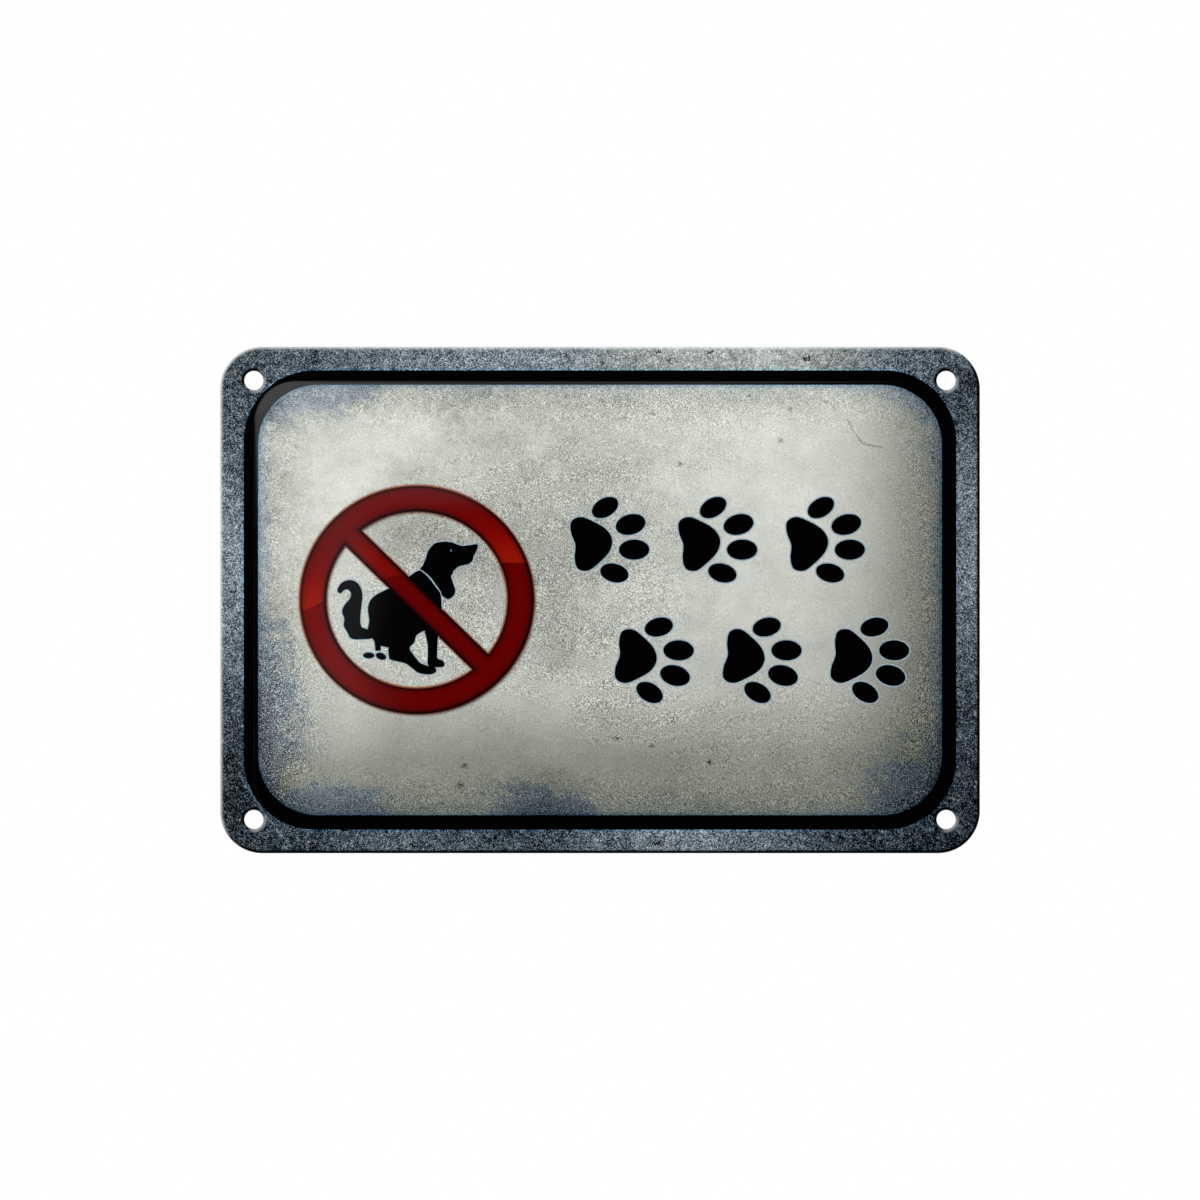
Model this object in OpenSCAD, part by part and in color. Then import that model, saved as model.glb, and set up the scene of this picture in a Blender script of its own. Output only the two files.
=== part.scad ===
// Pressed steel wall sign: one sheet with a rolled edge, a flat rim with four fixing holes,
// and a raised, crowned panel that carries the print.
// Millimetres. The back of the rolled edge lies on the wall plane, and the front faces -Y.

/* [Plate] */
// Width over the rolled edges
plate_w = 180; // [150:1:260]
// Height over the rolled edges
plate_h = 120; // [95:1:200]
// Radius of the outer corners
corner_r = 10; // [8:0.5:12]
// Thickness of the steel sheet
sheet_t = 0.35; // [0.25:0.05:0.6]

/* [Rolled edge] */
// Inside radius of the fold round the edge
bend_r = 0.25; // [0.15:0.05:0.5]
// Width of the flange that lies folded behind the rim
flange_w = 3; // [1.5:0.25:3.75]

/* [Raised panel] */
// Distance from the outer edge to the foot of the panel
panel_inset = 8.2; // [7.8:0.1:12]
// Radius of the panel's corners at its foot
panel_r = 9.7; // [8:0.1:14]
// Height of the pressed step above the rim
step_h = 1; // [0.4:0.1:2]
// Width of the step, from its foot to where the crown takes over
step_w = 4.2; // [2.5:0.1:6]
// Width of the hollow blend at the foot of the step
foot_w = 0.6; // [0.3:0.1:1.2]
// Height that the crown adds in the middle of the panel
crown_h = 2.8; // [1:0.1:5]

/* [Fixing holes] */
// Diameter of the holes
hole_d = 4.5; // [3:0.1:5.5]
// Distance from both outer edges to a hole's centre
hole_inset = 8; // [7.5:0.25:8.5]
// Radius of the rounding where the sheet is drawn into a hole
mouth_r = 0.45; // [0.2:0.05:0.6]
// Depth of the drawn collar behind the rim
collar_h = 0.4; // [0.3:0.05:0.5]

/* [Hidden] */
$fn = 96;
print_ground = [0.71, 0.72, 0.67];

// Outer radius of the fold, and the heights of the rim's two faces above the wall plane
fold_r = bend_r + sheet_t;
rim_back = 2 * bend_r + sheet_t;
rim_front = rim_back + sheet_t;

// Half sizes of the panel at its foot
foot_a = plate_w / 2 - panel_inset;
foot_b = plate_h / 2 - panel_inset;

// The panel's mesh: steps round each corner, along a long side and along a short one
corner_steps = 12;
side_steps = [14, 9];

// Its rings: on the step by their distance in from the foot, starting at the edge of
// a narrow flat brim, and on the crown by their share of the way to the centre
brim_w = sheet_t;
shoulder_steps = 5;
crown_steps = 8;
crown_ease = 1.3;
step_rings = concat(
    [-brim_w, 0, foot_w / 2, foot_w],
    [for (i = [1:shoulder_steps]) foot_w + (step_w - foot_w) * i / shoulder_steps]
);
crown_rings = [for (i = [1:crown_steps - 1]) pow(i / crown_steps, crown_ease)];

// Rounded rectangle of half sizes a and b as a list of points, as many at any size:
// for each quarter its corner's arc, then the side up to the next corner
function rounded_outline(a, b, r) = [
    for (q = [0:3])
        let (
            from = corner_centre(a - r, b - r, q),
            to = corner_centre(a - r, b - r, q + 1),
            steps = side_steps[q % 2]
        )
        each concat(
            [for (i = [0:corner_steps]) from + spoke(r, 90 * (q + i / corner_steps))],
            [for (i = [1:steps - 1]) from + (to - from) * i / steps + spoke(r, 90 * (q + 1))]
        )
];
function spoke(r, turn) = r * [cos(turn), sin(turn)];
function corner_centre(a, b, q) = [q % 4 == 0 || q % 4 == 3 ? a : -a, q % 4 < 2 ? b : -b];

// Front of the sheet along the step, at distance s in from the foot:
// a hollow blend, then a rounded shoulder
step_slope = 2 * step_h / step_w;
function step_height(s) =
    s <= 0 ? 0 :
    s < foot_w ? step_slope * s * s / (2 * foot_w) :
    s < step_w ? step_h - step_slope * (step_w - s) * (step_w - s) / (2 * (step_w - foot_w)) :
    step_h;
function step_grade(s) =
    s <= 0 || s >= step_w ? 0 :
    s < foot_w ? step_slope * s / foot_w :
    step_slope * (step_w - s) / (step_w - foot_w);

// Crown over the whole panel, nothing at its sides and full in the middle
function bulge(t) = max(0, 1 - t * t);
function crown_height(p) = crown_h * bulge(p.x / foot_a) * bulge(p.y / foot_b);
function crown_grade(p) = 2 * crown_h * norm([
    p.x / (foot_a * foot_a) * bulge(p.y / foot_b),
    p.y / (foot_b * foot_b) * bulge(p.x / foot_a)
]);

// Front and back of the sheet at point p of the plan, at distance s in from the foot
function front_at(p, s) = rim_front + step_height(s) + (s > 0 ? crown_height(p) : 0);
function back_at(p, s) =
    let (grade = s > 0 ? step_grade(s) + crown_grade(p) : 0)
    front_at(p, s) - sheet_t * sqrt(1 + grade * grade);

// Plan of every ring, from the brim in the rim to the last ring before the centre
top_of_step = rounded_outline(foot_a - step_w, foot_b - step_w, panel_r - step_w);
panel_plan = concat(
    [for (s = step_rings) [s, rounded_outline(foot_a - s, foot_b - s, panel_r - s)]],
    [for (u = crown_rings) [step_w, top_of_step * (1 - u)]]
);

// Sheet between two faces that share one plan: front rings and centre, then back rings and centre
module raised_panel() {
    rings = len(panel_plan);
    count = len(top_of_step);
    back = rings * count + 1;
    front_points = [for (ring = panel_plan) for (p = ring[1]) [p.x, p.y, front_at(p, ring[0])]];
    back_points = [for (ring = panel_plan) for (p = ring[1]) [p.x, p.y, back_at(p, ring[0])]];
    front_centre = [0, 0, front_at([0, 0], step_w)];
    back_centre = [0, 0, back_at([0, 0], step_w)];
    skin = [
        for (k = [0:rings - 2], i = [0:count - 1])
            let (a = k * count + i, b = k * count + (i + 1) % count, c = a + count, d = b + count)
            each [[a, c, b], [b, c, d]]
    ];
    last = (rings - 1) * count;
    fan = [for (i = [0:count - 1]) [last + i, last + count, last + (i + 1) % count]];
    front = concat(skin, fan);
    wall = [
        for (i = [0:count - 1])
            let (j = (i + 1) % count)
            each [[i, j, back + i], [j, back + j, back + i]]
    ];
    polyhedron(
        points = concat(front_points, [front_centre], back_points, [back_centre]),
        faces = concat(front, [for (f = front) [f[0] + back, f[2] + back, f[1] + back]], wall)
    );
}

// Plan of a rounded rectangle with true arcs
module rounded_plan(w, h, r) {
    square([w - 2 * r, h], center = true);
    square([w, h - 2 * r], center = true);
    for (x = [-1, 1], y = [-1, 1])
        translate([x * (w / 2 - r), y * (h / 2 - r)])
            circle(r);
}

// Flat rim between the fold and the panel, lapping into both
module rim() {
    edge = fold_r + flange_w / 2;
    lap = brim_w / 2;
    translate([0, 0, rim_back])
        linear_extrude(sheet_t)
            difference() {
                rounded_plan(plate_w - 2 * edge, plate_h - 2 * edge, corner_r - edge);
                polygon(rounded_outline(foot_a + lap, foot_b + lap, panel_r + lap));
            }
}

// Section of the fold: rim leg, half turn and return flange, with the fold's axis at x = 0
module fold_section() {
    translate([0, fold_r])
        difference() {
            circle(fold_r, $fn = 48);
            circle(bend_r, $fn = 48);
            translate([-2 * fold_r, -fold_r])
                square(2 * fold_r);
        }
    translate([-flange_w, 0])
        square([flange_w, sheet_t]);
    translate([-flange_w, rim_back])
        square([flange_w, sheet_t]);
}

// The fold, run along the four sides and turned round the four corners
module rolled_edge() {
    for (q = [0:3]) {
        across = q % 2 == 0 ? plate_w : plate_h;
        along = q % 2 == 0 ? plate_h : plate_w;
        rotate(90 * q) {
            translate([across / 2 - fold_r, 0])
                rotate([90, 0, 0])
                    linear_extrude(along - 2 * corner_r, center = true)
                        fold_section();
            translate([across / 2 - corner_r, along / 2 - corner_r])
                rotate_extrude(angle = 90)
                    translate([corner_r - fold_r, 0])
                        fold_section();
        }
    }
}

module at_holes() {
    for (x = [-1, 1], y = [-1, 1])
        translate([x * (plate_w / 2 - hole_inset), y * (plate_h / 2 - hole_inset)])
            children();
}

// Collar that the punch draws out behind the rim
module hole_collar() {
    translate([0, 0, rim_back - collar_h])
        cylinder(h = collar_h + sheet_t / 2, d = hole_d + 2 * sheet_t);
}

// Bore with the drawn-in, rounded mouth on the front
module hole_cut() {
    translate([0, 0, -rim_front])
        cylinder(h = 3 * rim_front, d = hole_d);
    rotate_extrude()
        difference() {
            translate([0, rim_front - mouth_r])
                square([hole_d / 2 + mouth_r, 2 * mouth_r]);
            translate([hole_d / 2 + mouth_r, rim_front - mouth_r])
                circle(mouth_r, $fn = 48);
        }
}

module sign_plate() {
    color(print_ground)
        rotate([90, 0, 0])
            difference() {
                union() {
                    rim();
                    rolled_edge();
                    raised_panel();
                    at_holes() hole_collar();
                }
                at_holes() hole_cut();
            }
}

sign_plate();
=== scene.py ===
"""Dresses the pressed tin sign: the sheet itself, its print and a studio round it.

Lengths are in millimetres until a mesh is made. The sign's front faces -Y, and
a flat blank lies in the X-Z plane, seen as it is read.
"""
import math
from functools import reduce
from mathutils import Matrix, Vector, geometry
import bpy


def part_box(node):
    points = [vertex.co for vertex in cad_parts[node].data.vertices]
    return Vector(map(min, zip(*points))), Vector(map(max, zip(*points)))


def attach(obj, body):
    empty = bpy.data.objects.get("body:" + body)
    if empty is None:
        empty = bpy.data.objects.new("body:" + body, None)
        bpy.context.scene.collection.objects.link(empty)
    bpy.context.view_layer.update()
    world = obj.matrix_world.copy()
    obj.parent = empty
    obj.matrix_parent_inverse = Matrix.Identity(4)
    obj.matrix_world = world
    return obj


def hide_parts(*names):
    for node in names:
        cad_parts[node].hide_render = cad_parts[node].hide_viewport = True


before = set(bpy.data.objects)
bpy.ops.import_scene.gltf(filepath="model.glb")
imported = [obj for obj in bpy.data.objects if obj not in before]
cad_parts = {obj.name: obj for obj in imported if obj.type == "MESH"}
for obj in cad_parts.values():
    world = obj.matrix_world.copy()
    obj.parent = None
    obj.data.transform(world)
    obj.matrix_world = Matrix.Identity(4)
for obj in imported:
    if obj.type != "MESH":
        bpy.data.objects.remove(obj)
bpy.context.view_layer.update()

MM = 0.001
SHEET_NODE = "sign_plate"

# The sheet, as in the part's source
sheet_low, sheet_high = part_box(SHEET_NODE)
PLATE_W = (sheet_high[0] - sheet_low[0]) / MM
PLATE_H = (sheet_high[2] - sheet_low[2]) / MM
CORNER_R = 10.0
SHEET_T = 0.35
BEND_R = 0.25
FLANGE_W = 3.0
PANEL_INSET = 8.2
PANEL_R = 9.7
STEP_H = 1.0
STEP_W = 4.2
FOOT_W = 0.6
CROWN_H = 2.8
HOLE_R = 2.25
HOLE_INSET = 8.0
MOUTH_R = 0.45
COLLAR_H = 0.4

HALF_W = PLATE_W / 2
HALF_H = PLATE_H / 2
FOLD_R = BEND_R + SHEET_T
RIM_Y = -2 * FOLD_R
FOOT_A = HALF_W - PANEL_INSET
FOOT_B = HALF_H - PANEL_INSET
HOLES = [(x * (HALF_W - HOLE_INSET), z * (HALF_H - HOLE_INSET)) for x in (-1, 1) for z in (-1, 1)]

# How finely the sheet is divided, and the narrow flat strips beside a bend
CROWN_RINGS = 40
CROWN_CROWDING = 0.85
SHOULDER_RINGS = 18
FOOT_RINGS = 8
FOLD_STEPS = 14
MOUTH_STEPS = 8
BRIM_W = SHEET_T
LEAD_IN = 0.05
SHARP_ANGLE = math.radians(40)
MERGE_DISTANCE = 1e-5

# The printed frame line, in from the plate's edge
BAND_OUTER_INSET = 5.63
BAND_INNER_INSET = 9.05
BAND_OUTER_R = 16.8
BAND_INNER_R = 14.2
BAND_RINGS = 17

# The prohibition ring and its bar
RING_X = -43.35
RING_Z = 0.1
RING_OUTER_R = 27.0
RING_INNER_R = 20.85
RING_MID_R = (RING_OUTER_R + RING_INNER_R) / 2
RING_STRETCH = 1.027
BAR_W = 5.1
BAR_TURN = math.radians(45)
RING_STEPS = 240
WINDOW_STEPS = 110
SHADOW_REACH = 0.45

# The curve that the ring's gloss ends at: its height over the middle, its slope there and its bend.
# The gloss changes over a height above it.
GLOSS_END_H = 6.8
GLOSS_END_SLOPE = 0.208
GLOSS_END_BEND = -0.0054
GLOSS_H = 24.0

# The paw prints
PAW_SIZE = 20.0
PAW_STEP = 25.5
PAW_LEAN = 8
UPPER_PAWS = (1.5, 14.0)
LOWER_PAWS = (12.0, -14.0)

# Ink stands proud of the sheet and reaches into it. Its inner points lie this far apart.
INK_LIFT = 0.03
HALO_LIFT = 0.015
INK_ROOT = 0.03
INK_SPACING = 1.2
FINE_SPACING = 0.8
DOG_HALO_W = 0.23
PAW_HALO_W = 0.28

# Brightness of the print, from 0 to 1, up the field and along each side of the rim, whose sides
# change into each other over this much at a corner. Up the field it also holds painted shade of
# the crown lit from above: pale high up, darker low down.
CORNER_BLEND = 8.0
FIELD_TONES = [
    (0.08, 0.43), (0.14, 0.49), (0.2, 0.53), (0.29, 0.655), (0.42, 0.72), (0.6, 0.765), (0.78, 0.8),
    (0.86, 0.765), (0.92, 0.66),
]
TOP_TONES = [(0.07, 0.33), (0.25, 0.46), (0.45, 0.53), (0.65, 0.66), (0.78, 0.62), (0.93, 0.36)]
BOTTOM_TONES = [(0.07, 0.24), (0.25, 0.35), (0.4, 0.28), (0.62, 0.48), (0.8, 0.28), (0.93, 0.18)]
LEFT_TONES = [(0.1, 0.18), (0.22, 0.24), (0.4, 0.42), (0.6, 0.52), (0.75, 0.4), (0.9, 0.33)]
RIGHT_TONES = [(0.1, 0.2), (0.3, 0.29), (0.5, 0.44), (0.75, 0.42), (0.9, 0.29)]

# Soft pools in the field, each an oval as middle and half sizes: darker, lighter, grainy and cool ones
SHADES = [
    ((-18.0, 16.0, 60.0, 38.0), 0.78), ((-5.0, 42.0, 38.0, 20.0), 0.9), ((-42.0, 60.0, 62.0, 20.0), 0.77),
    ((-68.0, 58.0, 30.0, 17.0), 0.75), ((-13.0, -53.0, 18.0, 18.0), 0.62), ((84.0, -52.0, 24.0, 24.0), 0.54),
    ((-84.0, 52.0, 14.0, 14.0), 0.64), ((-84.0, -52.0, 16.0, 16.0), 0.64), ((-66.0, -56.0, 28.0, 14.0), 0.75),
    ((-10.0, -9.0, 16.0, 13.0), 0.87), ((-43.0, 17.0, 22.0, 16.0), 0.85), ((-66.0, 43.0, 18.0, 8.0), 0.93),
]
LIGHTS = [
    ((-61.0, -33.0, 16.0, 16.0), 0.07), ((63.0, 47.0, 16.0, 9.0), 0.07), ((-78.0, 10.0, 9.0, 12.0), 0.06),
]
GRAINY = [
    ((-16.0, 6.0, 46.0, 36.0), 0.95), ((10.0, 38.0, 32.0, 14.0), 0.35), ((6.0, -26.0, 18.0, 10.0), 0.75),
    ((40.0, -30.0, 36.0, 16.0), 0.45), ((76.0, -38.0, 14.0, 22.0), 0.35), ((-78.0, -28.0, 15.0, 26.0), 0.9),
    ((-51.0, -8.0, 24.0, 21.0), 0.5),
]
COOL_POOLS = [
    (-86.0, -28.0, 16.0, 34.0), (84.0, -50.0, 24.0, 24.0), (-76.0, 55.0, 32.0, 14.0),
    (-13.0, -54.0, 18.0, 12.0), (84.0, 52.0, 16.0, 18.0), (-70.0, -56.0, 26.0, 14.0),
]

# Wear in the print: flecks as middle and half sizes, cracks and scratches from end to end
FLECKS = [
    (35.1, 48.2, 0.5, 0.4), (12.4, 44.0, 0.6, 0.4), (44.9, 45.2, 0.5, 0.4), (42.7, 37.6, 0.6, 0.5),
    (19.0, 32.1, 0.5, 0.5), (-32.1, -39.2, 0.7, 0.5), (-33.0, -43.7, 0.8, 0.6), (3.9, -32.8, 1.0, 0.4),
    (12.2, -34.5, 0.6, 0.4), (25.9, -38.3, 0.6, 0.5), (17.4, -28.3, 0.5, 0.4), (14.1, 58.7, 0.7, 0.4),
    (16.2, 56.8, 0.7, 0.5), (26.2, 58.7, 0.6, 0.4), (49.0, 57.2, 1.1, 0.6), (-68.1, -59.0, 0.9, 0.5),
    (-44.2, -58.4, 0.8, 0.6), (13.6, -57.7, 1.3, 0.6), (-60.3, -54.6, 0.9, 0.4),
]
CRACKS = [
    (58.6, 42.6, 61.9, 37.3), (61.9, 37.3, 66.6, 36.2), (84.9, 46.1, 88.9, 42.6), (87.7, -33.3, 89.6, -35.2),
]
SCRATCHES = [(-85.6, -41.1, -79.9, -49.9), (-79.9, -49.9, -73.5, -58.2)]

# The dog, part by part, measured from the middle of the ring, its ovals as middle, half sizes and lean
HEAD = [
    (14.0, 13.1), (14.5, 12.9), (14.4, 12.0), (14.1, 11.3), (13.5, 10.2), (13.3, 9.3), (12.3, 8.4),
    (10.0, 7.8), (8.6, 6.6), (6.0, 5.0), (3.6, 5.0), (0.9, 6.9), (1.5, 8.1), (2.2, 9.8), (2.7, 11.4),
    (3.4, 12.4), (4.4, 13.3), (6.4, 13.7), (8.4, 13.5), (10.0, 12.9), (11.0, 12.7), (12.7, 12.9),
]
EAR = [
    (8.6, 6.7), (8.2, 5.5), (8.8, 3.5), (9.2, 2.0), (8.6, 0.7), (7.4, 0.1), (6.2, 0.8), (5.5, 1.8),
    (3.2, 5.2), (5.6, 9.0),
]
TRUNK = [
    (0.9, 6.9), (3.6, 5.0), (5.5, 1.8), (5.9, -0.5), (6.0, -4.0), (5.2, -7.6), (3.6, -7.4), (1.8, -7.4),
    (0.0, -8.5), (-0.5, -10.1), (-1.8, -11.2), (-4.0, -11.6), (-6.7, -11.3), (-8.7, -10.8), (-10.4, -9.3),
    (-11.5, -7.4), (-11.2, -5.0), (-11.5, -2.2), (-10.9, -0.2), (-9.4, 1.2), (-6.7, 2.6), (-4.0, 4.2),
    (-1.9, 5.4),
]
TAIL = [
    (-10.4, -9.0), (-11.4, -7.2), (-13.0, -6.4), (-13.3, -4.3), (-13.0, -1.3), (-12.8, 1.3), (-13.4, 3.2),
    (-14.5, 4.3), (-16.0, 4.6), (-17.5, 4.1), (-18.4, 3.1), (-18.7, 2.0), (-18.0, 1.5), (-17.0, 2.3),
    (-16.1, 2.3), (-15.5, 1.4), (-15.8, 0.2), (-17.1, -1.4), (-17.6, -3.0), (-17.1, -4.4), (-17.2, -6.2),
    (-16.5, -7.5), (-15.4, -9.2), (-13.0, -9.4),
]
STUB = [(-9.9, -9.0), (-9.8, -11.0), (-9.7, -12.0), (-9.1, -12.1), (-8.5, -12.0), (-8.4, -11.0), (-8.2, -9.8)]
HIND_LEG = [
    (-6.4, -10.8), (-6.5, -13.6), (-6.1, -14.2), (-4.6, -14.6), (-2.6, -15.1), (-0.9, -16.3), (0.5, -17.3),
    (2.7, -17.7), (4.2, -17.4), (4.7, -16.7), (4.2, -15.9), (2.8, -15.7), (1.7, -15.3), (0.7, -14.8),
    (-0.6, -13.2), (-1.6, -11.6), (-1.2, -10.2), (-3.5, -9.0),
]
FRONT_LEG = [
    (2.0, -7.4), (2.2, -8.5), (2.6, -10.5), (2.7, -12.5), (2.7, -15.4), (3.7, -15.9), (6.2, -15.9),
    (6.6, -15.1), (6.0, -14.3), (5.0, -13.9), (4.9, -12.5), (5.0, -9.8), (5.2, -7.4), (3.6, -6.4),
]
DOG_COLLAR = [(0.9, 6.9), (2.2, 5.9), (3.3, 4.7), (5.5, 1.8), (5.7, 1.9), (3.6, 4.9), (2.4, 6.1), (1.0, 7.1)]

DROPPINGS = [(-11.3, -13.2, 1.35, 0.7, 0.0), (-8.4, -13.4, 1.27, 0.8, -20.0)]
EYE = (8.2, 11.6, 0.18, 0.17)

# One paw that points along +X, of size 1: its pad, and its pairs of toes as middle, half sizes and splay
PAD = [
    (0.07, 0.0), (0.02, 0.13), (-0.11, 0.24), (-0.26, 0.32), (-0.38, 0.28), (-0.4, 0.15), (-0.37, 0.0),
    (-0.4, -0.15), (-0.38, -0.28), (-0.26, -0.32), (-0.11, -0.24), (0.02, -0.13),
]
TOE_PAIRS = [(0.04, 0.39, 0.17, 0.11, 22), (0.31, 0.15, 0.18, 0.12, 7)]

# The studio, in metres
ROOM_LIGHT = 0.62
FLOOR_Z = -0.35
FLOOR_REACH = 1.5
CAMERA_AWAY = 1.184
LENS = 150
SENSOR = 36
SQUARE = [(-1, -1), (1, -1), (1, 1), (-1, 1)]


def paint(code):
    """A colour written as on a paint chart, as the light it gives back."""
    parts = [int(code[i:i + 2], 16) / 255 for i in (1, 3, 5)]
    return tuple(c / 12.92 if c <= 0.04045 else ((c + 0.055) / 1.055) ** 2.4 for c in parts) + (1.0,)


WHITE = (1.0, 1.0, 1.0, 1.0)
EDGE_SHADE = paint("#040506")
# Brown of the ring's printed fringe, and of the painted highlight on the ring's edge at the top left
RING_FRINGE_AND_HIGHLIGHT = paint("#8b4a2d")
RED_SHADE = paint("#120202")
FIELD_GLOW = (0.6, 0.82, 1.0, 1.0)
RIM_GLOW = (0.8, 1.03, 1.2, 1.0)

# What warm and cool print add to red, green and blue, and how a screen turns light into brightness
TINTS = [(0.003, -0.037), (0.013, 0.003), (-0.018, 0.034)]
GAMMA = 2.2


class Wiring:
    """Adds nodes to a tree and links them, so that each rule reads as one line a step."""

    # Where a Mix node keeps its sockets for colours
    FACTOR, FIRST, SECOND, MIXED = 0, 6, 7, 2

    def __init__(self, tree):
        self.tree = tree
        tree.nodes.clear()

    def add(self, kind, **inputs):
        node = self.tree.nodes.new(kind)
        for name, value in inputs.items():
            self.feed(node.inputs[name.replace("_", " ")], value)
        return node

    def feed(self, socket, value):
        if isinstance(value, bpy.types.NodeSocket):
            self.tree.links.new(value, socket)
        else:
            socket.default_value = value

    def operation(self, kind, operation, terms):
        node = self.tree.nodes.new(kind)
        node.operation = operation
        for socket, term in zip(node.inputs, terms):
            self.feed(socket, term)
        return node

    def math(self, operation, *terms):
        return self.operation("ShaderNodeMath", operation, terms).outputs[0]

    def vector(self, operation, *terms):
        return self.operation("ShaderNodeVectorMath", operation, terms)

    def plus(self, a, b):
        return self.math("ADD", a, b)

    def minus(self, a, b):
        return self.math("SUBTRACT", a, b)

    def times(self, a, b):
        return self.math("MULTIPLY", a, b)

    def divide(self, a, b):
        return self.math("DIVIDE", a, b)

    def least(self, a, b):
        return self.math("MINIMUM", a, b)

    def most(self, a, b):
        return self.math("MAXIMUM", a, b)

    def absolute(self, a):
        return self.math("ABSOLUTE", a)

    def negative(self, a):
        return self.times(a, -1.0)

    def hypotenuse(self, a, b):
        return self.math("SQRT", self.plus(self.times(a, a), self.times(b, b)))

    def fade(self, value, start, end, before=0.0, after=1.0):
        """A value that changes smoothly between start and end, and stays as it is before and after."""
        node = self.add("ShaderNodeMapRange", Value=value, From_Min=start, From_Max=end,
                        To_Min=before, To_Max=after)
        node.interpolation_type = "SMOOTHSTEP"
        return node.outputs["Result"]

    def mix_value(self, factor, first, second):
        return self.plus(self.times(factor, second), self.times(self.minus(1.0, factor), first))

    def mix(self, factor, first, second, blend="MIX"):
        """A colour that goes from the first to the second with the factor."""
        node = self.tree.nodes.new("ShaderNodeMix")
        node.data_type = "RGBA"
        node.blend_type = blend
        self.feed(node.inputs[self.FACTOR], factor)
        self.feed(node.inputs[self.FIRST], first)
        self.feed(node.inputs[self.SECOND], second)
        return node.outputs[self.MIXED]

    def ramp(self, value, stops):
        node = self.tree.nodes.new("ShaderNodeValToRGB")
        node.color_ramp.interpolation = "CARDINAL"
        marks = node.color_ramp.elements
        while len(marks) < len(stops):
            marks.new(0.5)
        for mark, (at, colour) in zip(marks, stops):
            mark.position = at
            mark.color = colour
        self.feed(node.inputs[0], value)
        return node.outputs[0]

    def noise(self, at, scale, detail, roughness):
        """Noise about zero, from about -0.5 to 0.5."""
        node = self.add("ShaderNodeTexNoise", Vector=at, Scale=scale, Detail=detail, Roughness=roughness)
        return self.minus(node.outputs[0], 0.5)

    def rounded_box(self, x, z, half_w, half_h, radius):
        """Distance out from a rounded rectangle, negative inside it."""
        qx = self.minus(self.absolute(x), self.minus(half_w, radius))
        qz = self.minus(self.absolute(z), self.minus(half_h, radius))
        outside = self.hypotenuse(self.most(qx, 0.0), self.most(qz, 0.0))
        inside = self.least(self.most(qx, qz), 0.0)
        return self.minus(self.plus(outside, inside), radius)

    def surface(self, shader):
        self.add("ShaderNodeOutputMaterial", Surface=shader.outputs[0])

    def mixed_surface(self, factor, first, second):
        """Two shaders in one surface, the second where the factor is 1."""
        blend = self.add("ShaderNodeMixShader", Fac=factor)
        self.feed(blend.inputs[1], first.outputs[0])
        self.feed(blend.inputs[2], second.outputs[0])
        self.surface(blend)


def new_material(name):
    material = bpy.data.materials.new(name)
    material.use_nodes = True
    return material, Wiring(material.node_tree)


def millimetres(w):
    """Object coordinates in millimetres, whole and as X and Z."""
    place = w.vector("SCALE", w.add("ShaderNodeTexCoord").outputs["Object"])
    place.inputs["Scale"].default_value = 1 / MM
    parts = w.add("ShaderNodeSeparateXYZ", Vector=place.outputs[0])
    return place.outputs[0], parts.outputs[0], parts.outputs[2]


def lacquer(w, colour):
    """Print under a clear lacquer: the flat colour below a thin glossy coat."""
    shader = w.add("ShaderNodeBsdfPrincipled", Base_Color=colour)
    shader.inputs["Roughness"].default_value = 0.6
    shader.inputs["Specular IOR Level"].default_value = 0.0
    shader.inputs["Coat Weight"].default_value = 1.0
    shader.inputs["Coat Roughness"].default_value = 0.07
    shader.inputs["Coat IOR"].default_value = 1.6
    w.surface(shader)


def into_plate(w, x, z, inset, radius):
    """Distance in from a rounded rectangle that lies this far inside the plate's edge."""
    return w.negative(w.rounded_box(x, z, HALF_W - inset, HALF_H - inset, radius))


def ring_distance(w, x, z):
    """Distance out from the ring and its bar, negative on the ink."""
    u = w.divide(w.minus(x, RING_X), RING_STRETCH)
    v = w.minus(z, RING_Z)
    reach = w.hypotenuse(u, v)
    ring = w.minus(w.absolute(w.minus(reach, RING_MID_R)), RING_OUTER_R - RING_MID_R)
    across = w.absolute(w.plus(w.times(u, math.sin(BAR_TURN)), w.times(v, math.cos(BAR_TURN))))
    bar = w.most(w.minus(across, BAR_W / 2), w.minus(reach, RING_MID_R))
    return w.least(ring, bar)


def shadow_distance(w, x, z):
    """Distance out from the ring's soft shadow, a little to its lower right."""
    return ring_distance(w, w.minus(x, SHADOW_REACH), w.plus(z, SHADOW_REACH))


def oval_distance(w, place, oval):
    """Distance from the middle of an oval, where 1 is on its edge."""
    x, z, half_w, half_h = oval
    size = (1 / half_w, 0, 1 / half_h)
    shift = (-x / half_w, 0, -z / half_h)
    return w.vector("LENGTH", w.vector("MULTIPLY_ADD", place, size, shift).outputs[0]).outputs["Value"]


def stroke_distance(w, x, z, stroke):
    """Distance in millimetres from a straight stroke."""
    ax, az, bx, bz = stroke
    length = math.hypot(bx - ax, bz - az)
    ux, uz = (bx - ax) / length, (bz - az) / length
    px, pz = w.minus(x, ax), w.minus(z, az)
    along = w.plus(w.times(px, ux), w.times(pz, uz))
    past = w.most(w.minus(w.absolute(w.minus(along, length / 2)), length / 2), 0.0)
    beside = w.minus(w.times(px, uz), w.times(pz, ux))
    return w.hypotenuse(past, beside)


def up_left(w, dx, dz):
    """How far a direction points to the top left: 1 straight there, 0 across it and -1 straight away."""
    return w.divide(w.minus(dz, dx), w.times(w.hypotenuse(dx, dz), math.sqrt(2)))


def as_seen(w, tone, cool):
    """The colour that looks this bright, from black at 0 to white at 1, warm at cool 0 and bluish at 1."""
    parts = []
    for warm_shift, cool_shift in TINTS:
        level = w.plus(w.plus(tone, warm_shift), w.times(cool, cool_shift - warm_shift))
        parts.append(w.math("POWER", w.most(level, 0.0), GAMMA))
    return w.add("ShaderNodeCombineColor", Red=parts[0], Green=parts[1], Blue=parts[2]).outputs[0]


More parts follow.
